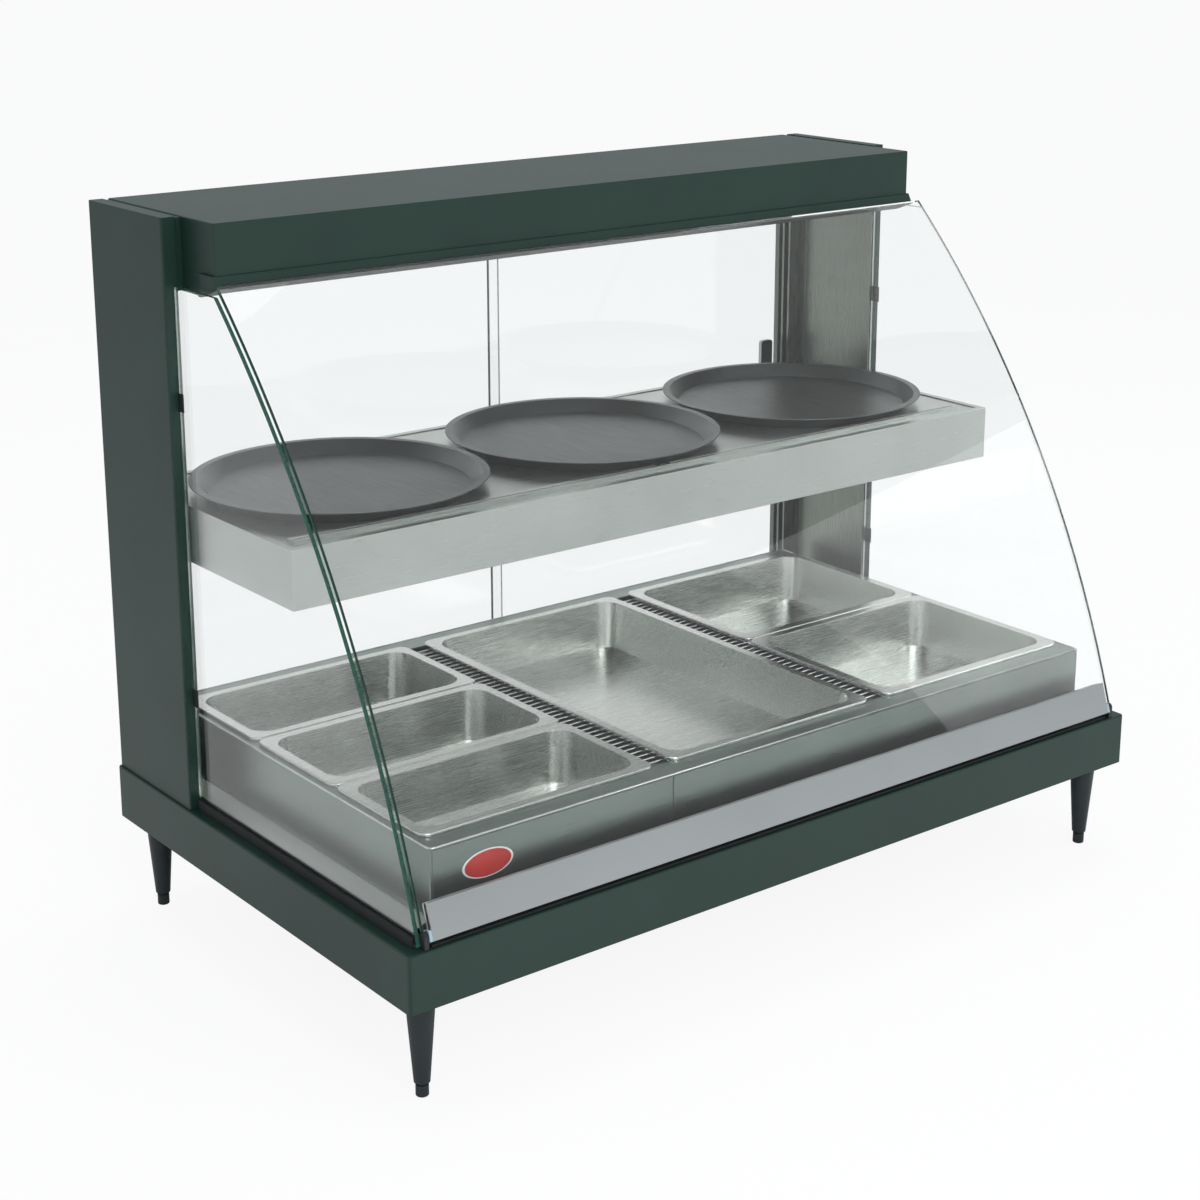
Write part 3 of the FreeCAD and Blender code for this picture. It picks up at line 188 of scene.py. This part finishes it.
def glazing(name, face_axes, edge_colour):
    """Clear tempered glass whose polished edges look green; face_axes are the broad faces' normals."""
    g = Graph(name)
    clear = g.principled((0.975, 0.985, 0.985), 0.0, Transmission_Weight=1.0, IOR=1.35)
    smear = g.noise((1, 1, 1), 4.0)
    g.link(g.spread(smear, 0.0, 0.012), clear.inputs["Roughness"])
    edge = g.principled(edge_colour, 0.16, Transmission_Weight=0.35, IOR=1.5)
    streak = g.noise((60, 60, 3), 8.0)
    g.link(g.tint(streak, shade(edge_colour, 0.8), shade(edge_colour, 1.2)), edge.inputs["Base Color"])
    geometry = g.add("ShaderNodeNewGeometry")
    split = g.add("ShaderNodeSeparateXYZ")
    g.link(geometry.outputs["True Normal"], split.inputs["Vector"])
    total = None
    for axis in face_axes:
        square = g.add("ShaderNodeMath", operation="MULTIPLY")
        g.link(split.outputs[axis], square.inputs[0])
        g.link(split.outputs[axis], square.inputs[1])
        if total is None:
            total = square.outputs[0]
        else:
            added = g.add("ShaderNodeMath", operation="ADD")
            g.link(total, added.inputs[0])
            g.link(square.outputs[0], added.inputs[1])
            total = added.outputs[0]
    is_edge = g.add("ShaderNodeMath", operation="LESS_THAN")
    is_edge.inputs[1].default_value = 0.5
    g.link(total, is_edge.inputs[0])
    body = g.add("ShaderNodeMixShader")
    g.link(is_edge.outputs[0], body.inputs["Fac"])
    g.link(clear.outputs[0], body.inputs[1])
    g.link(edge.outputs[0], body.inputs[2])
    rays = g.add("ShaderNodeLightPath")
    either = g.add("ShaderNodeMath", operation="MAXIMUM")
    g.link(rays.outputs["Is Shadow Ray"], either.inputs[0])
    g.link(rays.outputs["Is Diffuse Ray"], either.inputs[1])
    through = g.add("ShaderNodeBsdfTransparent")
    through.inputs["Color"].default_value = (0.95, 0.97, 0.97, 1.0)
    mixed = g.add("ShaderNodeMixShader")
    g.link(either.outputs[0], mixed.inputs["Fac"])
    g.link(body.outputs[0], mixed.inputs[1])
    g.link(through.outputs[0], mixed.inputs[2])
    return g.finish(mixed)


def make_materials():
    green = (0.0085, 0.0290, 0.0210)
    return {
        "green": painted("green_powder_coat", green, 0.42),
        "coated": painted("dark_sheet", (0.030, 0.045, 0.042), 0.45),
        "steel_x": brushed("stainless_along_x", (0.47, 0.50, 0.48), 0.33, "x"),
        "steel_z": brushed("stainless_along_z", (0.19, 0.21, 0.185), 0.30, "z"),
        "well": brushed("well_stainless", (0.22, 0.265, 0.245), 0.34, "x"),
        "pan": brushed("pan_stainless", (0.55, 0.57, 0.55), 0.24, "x", contrast=0.05),
        "tray": brushed("tray_aluminium", (0.115, 0.125, 0.125), 0.40, "y", contrast=0.14),
        "aluminium": brushed("anodised_aluminium", (0.52, 0.535, 0.535), 0.38, "x", contrast=0.03),
        "mirror": brushed("reflector_aluminium", (0.78, 0.78, 0.76), 0.16, "x"),
        "chrome": brushed("plated_wire", (0.66, 0.67, 0.67), 0.17, "y", rounding=0.0),
        "black": moulded("black_nylon", (0.012, 0.018, 0.020), 0.42),
        "hinge": moulded("black_plate", (0.015, 0.018, 0.018), 0.35),
        "rubber": moulded("black_rubber", (0.013, 0.015, 0.015), 0.68, 1800.0),
        "clear_plastic": moulded("clear_blue_plastic", (0.30, 0.42, 0.48), 0.18),
        "ceramic": moulded("white_ceramic", (0.72, 0.70, 0.64), 0.3),
        "element": moulded("oxidised_sheath", (0.055, 0.050, 0.045), 0.5),
        "silicone": moulded("silicone_blanket", (0.30, 0.06, 0.03), 0.55),
        "wool": moulded("mineral_wool", (0.45, 0.40, 0.25), 0.95, 300.0),
        "white_mark": moulded("white_print", (0.75, 0.76, 0.74), 0.5),
        "red_lens": moulded("red_lens", (0.45, 0.02, 0.015), 0.2),
        "curved_glass": glazing("curved_glass", ("Y", "Z"), (0.020, 0.085, 0.060)),
        "side_glass": glazing("flat_side_glass", ("X",), (0.030, 0.110, 0.080)),
        "door_glass": glazing("door_glass", ("Y",), (0.030, 0.060, 0.050)),
        "lamp_glass": moulded("frosted_tube", (0.80, 0.79, 0.74), 0.25),
    }


NODE_FINISH = {
    "green": ("base_housing", "columns", "hood_cap", "hood_mount_bars", "hood_nose", "hood_bottom"),
    "coated": ("base_floor", "base_deck"),
    "steel_x": ("shelf_skirt", "shelf_plate", "shelf_bottom_cover", "shelf_rail", "shelf_brackets",
                "side_sills", "control_panel", "column_screws"),
    "steel_z": ("column_liners", "rear_jambs"),
    "well": ("well_shell", "well_front_skirts"),
    "pan": ("pan_full_centre", "pan_third_front", "pan_third_middle", "pan_third_rear",
            "pan_half_front", "pan_half_rear"),
    "tray": ("tray_left", "tray_centre", "tray_right"),
    "aluminium": ("glass_rail", "door_tracks", "door_pull_left", "door_pull_right"),
    "mirror": ("hood_reflector",),
    "chrome": ("wire_racks", "element_guard"),
    "black": ("legs", "inlet_gland", "control_bodies", "knob_well", "knob_shelf", "rocker_heat",
              "rocker_light", "foot_front_left", "foot_front_right", "foot_rear_left", "foot_rear_right"),
    "hinge": ("hinge_brackets",),
    "rubber": ("side_channels", "glass_top_seal"),
    "clear_plastic": ("rail_end_caps",),
    "ceramic": ("lamp_sockets",),
    "element": ("hood_element",),
    "silicone": ("heater_blankets",),
    "wool": ("insulation_pads",),
    "lamp_glass": ("lamps",),
    "curved_glass": ("front_glass",),
    "side_glass": ("side_glasses",),
    "door_glass": ("door_left", "door_right"),
}


def node_objects(name):
    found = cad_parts[name]
    return found if isinstance(found, (list, tuple)) else [found]


def finish_nodes(materials):
    for key, names in NODE_FINISH.items():
        for name in names:
            for piece in node_objects(name):
                for item in piece.material_slots:
                    item.material = materials[key]
                if not piece.material_slots:
                    piece.data.materials.append(materials[key])


# ---- mesh helpers ----
def new_piece(name, mesh_builder, material, body, smooth=True):
    """Build a mesh piece and let it ride on a body."""
    mesh = bpy.data.meshes.new(name)
    bm = mesh_builder()
    bmesh.ops.recalc_face_normals(bm, faces=bm.faces)
    bm.to_mesh(mesh)
    bm.free()
    for face in mesh.polygons:
        face.use_smooth = smooth
    piece = bpy.data.objects.new(name, mesh)
    bpy.context.collection.objects.link(piece)
    mesh.materials.append(material)
    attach(piece, body)
    return piece


def soften(piece, width, segments=2):
    bevel = piece.modifiers.new("bevel", "BEVEL")
    bevel.width = width
    bevel.segments = segments
    bevel.limit_method = "ANGLE"
    bevel.harden_normals = True
    return piece


def block(low, high):
    """A function that builds a box mesh between two corners."""
    def build():
        bm = bmesh.new()
        size = Vector(high) - Vector(low)
        middle = (Vector(high) + Vector(low)) / 2
        place = Matrix.Translation(middle) @ Matrix.Diagonal((*size, 1.0))
        bmesh.ops.create_cube(bm, size=1.0, matrix=place)
        return bm
    return build


def sweep(points, radius, sides=10):
    """A function that builds a round bead along a line of points."""
    def build():
        bm = bmesh.new()
        rings = []
        for index, point in enumerate(points):
            before = points[max(index - 1, 0)]
            after = points[min(index + 1, len(points) - 1)]
            along = (Vector(after) - Vector(before)).normalized()
            side = along.cross(Vector((0.0, 0.0, 1.0)))
            if side.length < 0.1:
                side = along.cross(Vector((1.0, 0.0, 0.0)))
            side.normalize()
            up = side.cross(along)
            ring = []
            for step in range(sides):
                turn = 2 * math.pi * step / sides
                offset = radius * (math.cos(turn) * side + math.sin(turn) * up)
                ring.append(bm.verts.new(Vector(point) + offset))
            rings.append(ring)
        for first, second in zip(rings, rings[1:]):
            for step in range(sides):
                following = (step + 1) % sides
                bm.faces.new((first[step], first[following], second[following], second[step]))
        bm.faces.new(rings[0][::-1])
        bm.faces.new(rings[-1])
        return bm
    return build


def screw_head(centre, axis, radius, height):
    """A function that builds a domed screw head or lens."""
    def build():
        bm = bmesh.new()
        rows = 5
        previous = None
        turn = Vector((0, 0, 1)).rotation_difference(Vector(axis)).to_matrix()
        for row in range(rows + 1):
            angle = math.pi / 2 * row / rows
            ring_radius = radius * math.cos(angle)
            z = height * math.sin(angle)
            if row == rows:
                tip = bm.verts.new(Vector(centre) + turn @ Vector((0, 0, z * 0.9)))
                for step in range(16):
                    bm.faces.new((previous[step], previous[(step + 1) % 16], tip))
                break
            ring = []
            for step in range(16):
                around = 2 * math.pi * step / 16
                offset = Vector((ring_radius * math.cos(around), ring_radius * math.sin(around), z))
                ring.append(bm.verts.new(Vector(centre) + turn @ offset))
            if previous:
                for step in range(16):
                    following = (step + 1) % 16
                    bm.faces.new((previous[step], previous[following], ring[following], ring[step]))
            else:
                bm.faces.new(ring[::-1])
            previous = ring
        return bm
    return build


# ---- added pieces ----
def well_trim(materials):
    """The bright hem along the top edge of the well."""
    low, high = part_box("well_shell")
    radius = 1.4 * MM
    z = high.z - radius * 0.4
    inset = radius * 0.4
    x0, x1, y0, y1 = low.x + inset, high.x - inset, low.y + inset, high.y - inset
    corner = 6 * MM
    points = []
    for cx, cy, start in ((x1 - corner, y0 + corner, -90), (x1 - corner, y1 - corner, 0),
                          (x0 + corner, y1 - corner, 90), (x0 + corner, y0 + corner, 180)):
        for step in range(5):
            turn = math.radians(start + step * 22.5)
            points.append((cx + corner * math.cos(turn), cy + corner * math.sin(turn), z))
    points.append(points[0])
    new_piece("well_hem", sweep(points, radius), materials["pan"], "case")


def shelf_details(materials):
    """The small black clip on the shelf rail."""
    low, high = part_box("shelf_rail")
    y = low.y + 5 * MM
    shape = block((-0.014, y - 3.5 * MM, low.z + 1 * MM), (0.003, y + 3.5 * MM, high.z + 2 * MM))
    clip = new_piece("shelf_clip", shape, materials["black"], "case", smooth=False)
    soften(clip, 0.8 * MM)


def deck_gasket(materials):
    """The dark gasket under the glass rail, on the base's rim."""
    rail_low, rail_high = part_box("glass_rail")
    base_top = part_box("base_housing")[1].z
    y0 = rail_low.y + 4 * MM
    shape = block((rail_low.x, y0, base_top), (rail_high.x, y0 + 6 * MM, base_top + 3 * MM))
    gasket = new_piece("front_gasket", shape, materials["rubber"], "case", smooth=False)
    soften(gasket, 0.8 * MM)


def side_clips(materials):
    """The clips that hold the side glass to the columns."""
    glass_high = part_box("side_glasses")[1]
    column_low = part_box("columns")[0]
    shelf_low, shelf_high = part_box("shelf_skirt")
    for side, word in ((-1, "left"), (1, "right")):
        for z, place in ((shelf_high.z + 0.115, "upper"), (shelf_low.z - 0.18, "lower")):
            x_out = side * (glass_high.x + 1.6 * MM)
            x_in = side * (glass_high.x + 0.3 * MM)
            y1 = column_low.y - 0.3 * MM
            low = (min(x_out, x_in), y1 - 12 * MM, z)
            high = (max(x_out, x_in), y1, z + 22 * MM)
            clip = new_piece("glass_clip_" + word + "_" + place, block(low, high), materials["hinge"],
                             "case", smooth=False)
            soften(clip, 0.5 * MM)


def control_marks(materials):
    """Ticks round each knob, its pointer, a pilot light over each switch, and the panel's screws."""
    panel_low, panel_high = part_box("control_panel")
    face = panel_low.y + 1.2 * MM
    for name in ("knob_well", "knob_shelf"):
        low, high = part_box(name)
        cx = (low.x + high.x) / 2
        cz = (low.z + high.z) / 2
        for step in range(9):
            turn = math.radians(-135 + step * 33.75)
            x = cx + 18.5 * MM * math.sin(turn)
            z = cz + 18.5 * MM * math.cos(turn)
            shape = block((-0.4 * MM, 0, -1.6 * MM), (0.4 * MM, 0.15 * MM, 1.6 * MM))
            tick = new_piece(name + "_tick_" + str(step), shape, materials["black"], "case",
                             smooth=False)
            tick.data.transform(Matrix.Translation((x, face, z)) @ Matrix.Rotation(turn, 4, "Y"))
        shape = block((cx - 0.6 * MM, high.y - 0.1 * MM, cz + 2 * MM),
                      (cx + 0.6 * MM, high.y + 0.15 * MM, high.z - 1 * MM))
        new_piece(name + "_pointer", shape, materials["white_mark"], name, smooth=False)
    for name in ("rocker_heat", "rocker_light"):
        low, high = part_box(name)
        cx = (low.x + high.x) / 2
        shape = screw_head((cx, face, high.z + 7 * MM), (0, 1, 0), 2.2 * MM, 1.6 * MM)
        new_piece(name + "_lens", shape, materials["red_lens"], "case")
    for side in (-1, 1):
        for z in (panel_low.z + 9 * MM, panel_high.z - 9 * MM):
            x = (panel_low.x + panel_high.x) / 2 + side * ((panel_high.x - panel_low.x) / 2 - 14 * MM)
            shape = screw_head((x, face, z), (0, 1, 0), 2.6 * MM, 1.4 * MM)
            name = "panel_screw_" + str(side) + "_" + str(int(z / MM))
            new_piece(name, shape, materials["pan"], "case")


def badge(materials):
    """The bare red oval badge on the well's front, with a raised pale rim."""
    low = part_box("well_front_skirts")[0]
    cx = low.x + 0.072
    cz = low.z + 0.056
    half_x, half_z, thick = 0.034, 0.0165, 1.2 * MM
    base = low.y - 0.05 * MM
    layers = (("badge_rim", 1.0, thick * 0.7, "white_mark"), ("badge_face", 0.92, thick, "red_lens"))
    for name, scale, depth, key in layers:
        rings = []
        bm = bmesh.new()
        for y, share in ((base, 1.0), (base - depth * 0.8, 1.0), (base - depth, 0.97)):
            ring = []
            for step in range(48):
                turn = 2 * math.pi * step / 48
                ring.append(bm.verts.new((cx + half_x * scale * share * math.cos(turn), y,
                                          cz + half_z * scale * share * math.sin(turn))))
            rings.append(ring)
        for first, second in zip(rings, rings[1:]):
            for step in range(48):
                following = (step + 1) % 48
                bm.faces.new((first[step], first[following], second[following], second[step]))
        bm.faces.new(rings[0][::-1])
        bm.faces.new(rings[-1])
        new_piece(name, lambda made=bm: made, materials[key], "case", smooth=False)


# ---- stage ----
def make_stage():
    """A white floor that keeps a faint shadow, and white surroundings."""
    bpy.ops.mesh.primitive_plane_add(size=60.0, location=(0.0, 0.0, -0.0005))
    floor = bpy.context.object
    floor.name = "floor"
    g = Graph("floor_white")
    matt = g.principled((0.86, 0.87, 0.87), 0.9)
    glow = g.add("ShaderNodeEmission")
    glow.inputs["Color"].default_value = (1.0, 1.0, 1.0, 1.0)
    glow.inputs["Strength"].default_value = 1.0
    rays = g.add("ShaderNodeLightPath")
    seen = g.add("ShaderNodeMath", operation="MAXIMUM")
    g.link(rays.outputs["Is Camera Ray"], seen.inputs[0])
    g.link(rays.outputs["Is Transmission Ray"], seen.inputs[1])
    share = g.add("ShaderNodeMath", operation="MULTIPLY")
    share.inputs[1].default_value = FLOOR_GLOW
    g.link(seen.outputs[0], share.inputs[0])
    mixed = g.add("ShaderNodeMixShader")
    g.link(share.outputs[0], mixed.inputs["Fac"])
    g.link(matt.outputs[0], mixed.inputs[1])
    g.link(glow.outputs[0], mixed.inputs[2])
    floor.data.materials.append(g.finish(mixed))

    world = bpy.data.worlds.new("surroundings")
    bpy.context.scene.world = world
    world.use_nodes = True
    tree = world.node_tree
    tree.nodes.clear()
    output = tree.nodes.new("ShaderNodeOutputWorld")
    seen_white = tree.nodes.new("ShaderNodeBackground")
    seen_white.inputs["Color"].default_value = (1.0, 1.0, 1.0, 1.0)
    soft = tree.nodes.new("ShaderNodeBackground")
    soft.inputs["Color"].default_value = (0.93, 0.97, 1.0, 1.0)
    soft.inputs["Strength"].default_value = 0.62
    rays = tree.nodes.new("ShaderNodeLightPath")
    direct = tree.nodes.new("ShaderNodeMath")
    direct.operation = "MAXIMUM"
    tree.links.new(rays.outputs["Is Camera Ray"], direct.inputs[0])
    tree.links.new(rays.outputs["Is Transmission Ray"], direct.inputs[1])
    mixed = tree.nodes.new("ShaderNodeMixShader")
    tree.links.new(direct.outputs[0], mixed.inputs["Fac"])
    tree.links.new(soft.outputs[0], mixed.inputs[1])
    tree.links.new(seen_white.outputs[0], mixed.inputs[2])
    tree.links.new(mixed.outputs[0], output.inputs["Surface"])


def area_light(name, place, target, size, power, colour=(1.0, 1.0, 1.0)):
    data = bpy.data.lights.new(name, "AREA")
    data.shape = "RECTANGLE"
    data.size, data.size_y = size
    data.energy = power
    data.color = colour
    light = bpy.data.objects.new(name, data)
    light.location = place
    light.rotation_euler = (Vector(target) - Vector(place)).to_track_quat("-Z", "Y").to_euler()
    light.visible_glossy = False
    bpy.context.collection.objects.link(light)


def make_lights():
    area_light("key", (-1.2, -3.2, 2.4), (0.0, 0.0, 0.5), (2.4, 1.6), 66.0)
    area_light("fill", (3.2, -2.2, 1.4), (0.0, 0.0, 0.5), (1.8, 1.8), 28.0)
    area_light("top", (0.3, 0.6, 3.2), (0.0, 0.0, 0.4), (2.2, 2.2), 30.0)


make_camera()
palette = make_materials()
finish_nodes(palette)
well_trim(palette)
shelf_details(palette)
deck_gasket(palette)
side_clips(palette)
control_marks(palette)
badge(palette)
make_stage()
make_lights()

bpy.context.scene.view_settings.view_transform = "Standard"
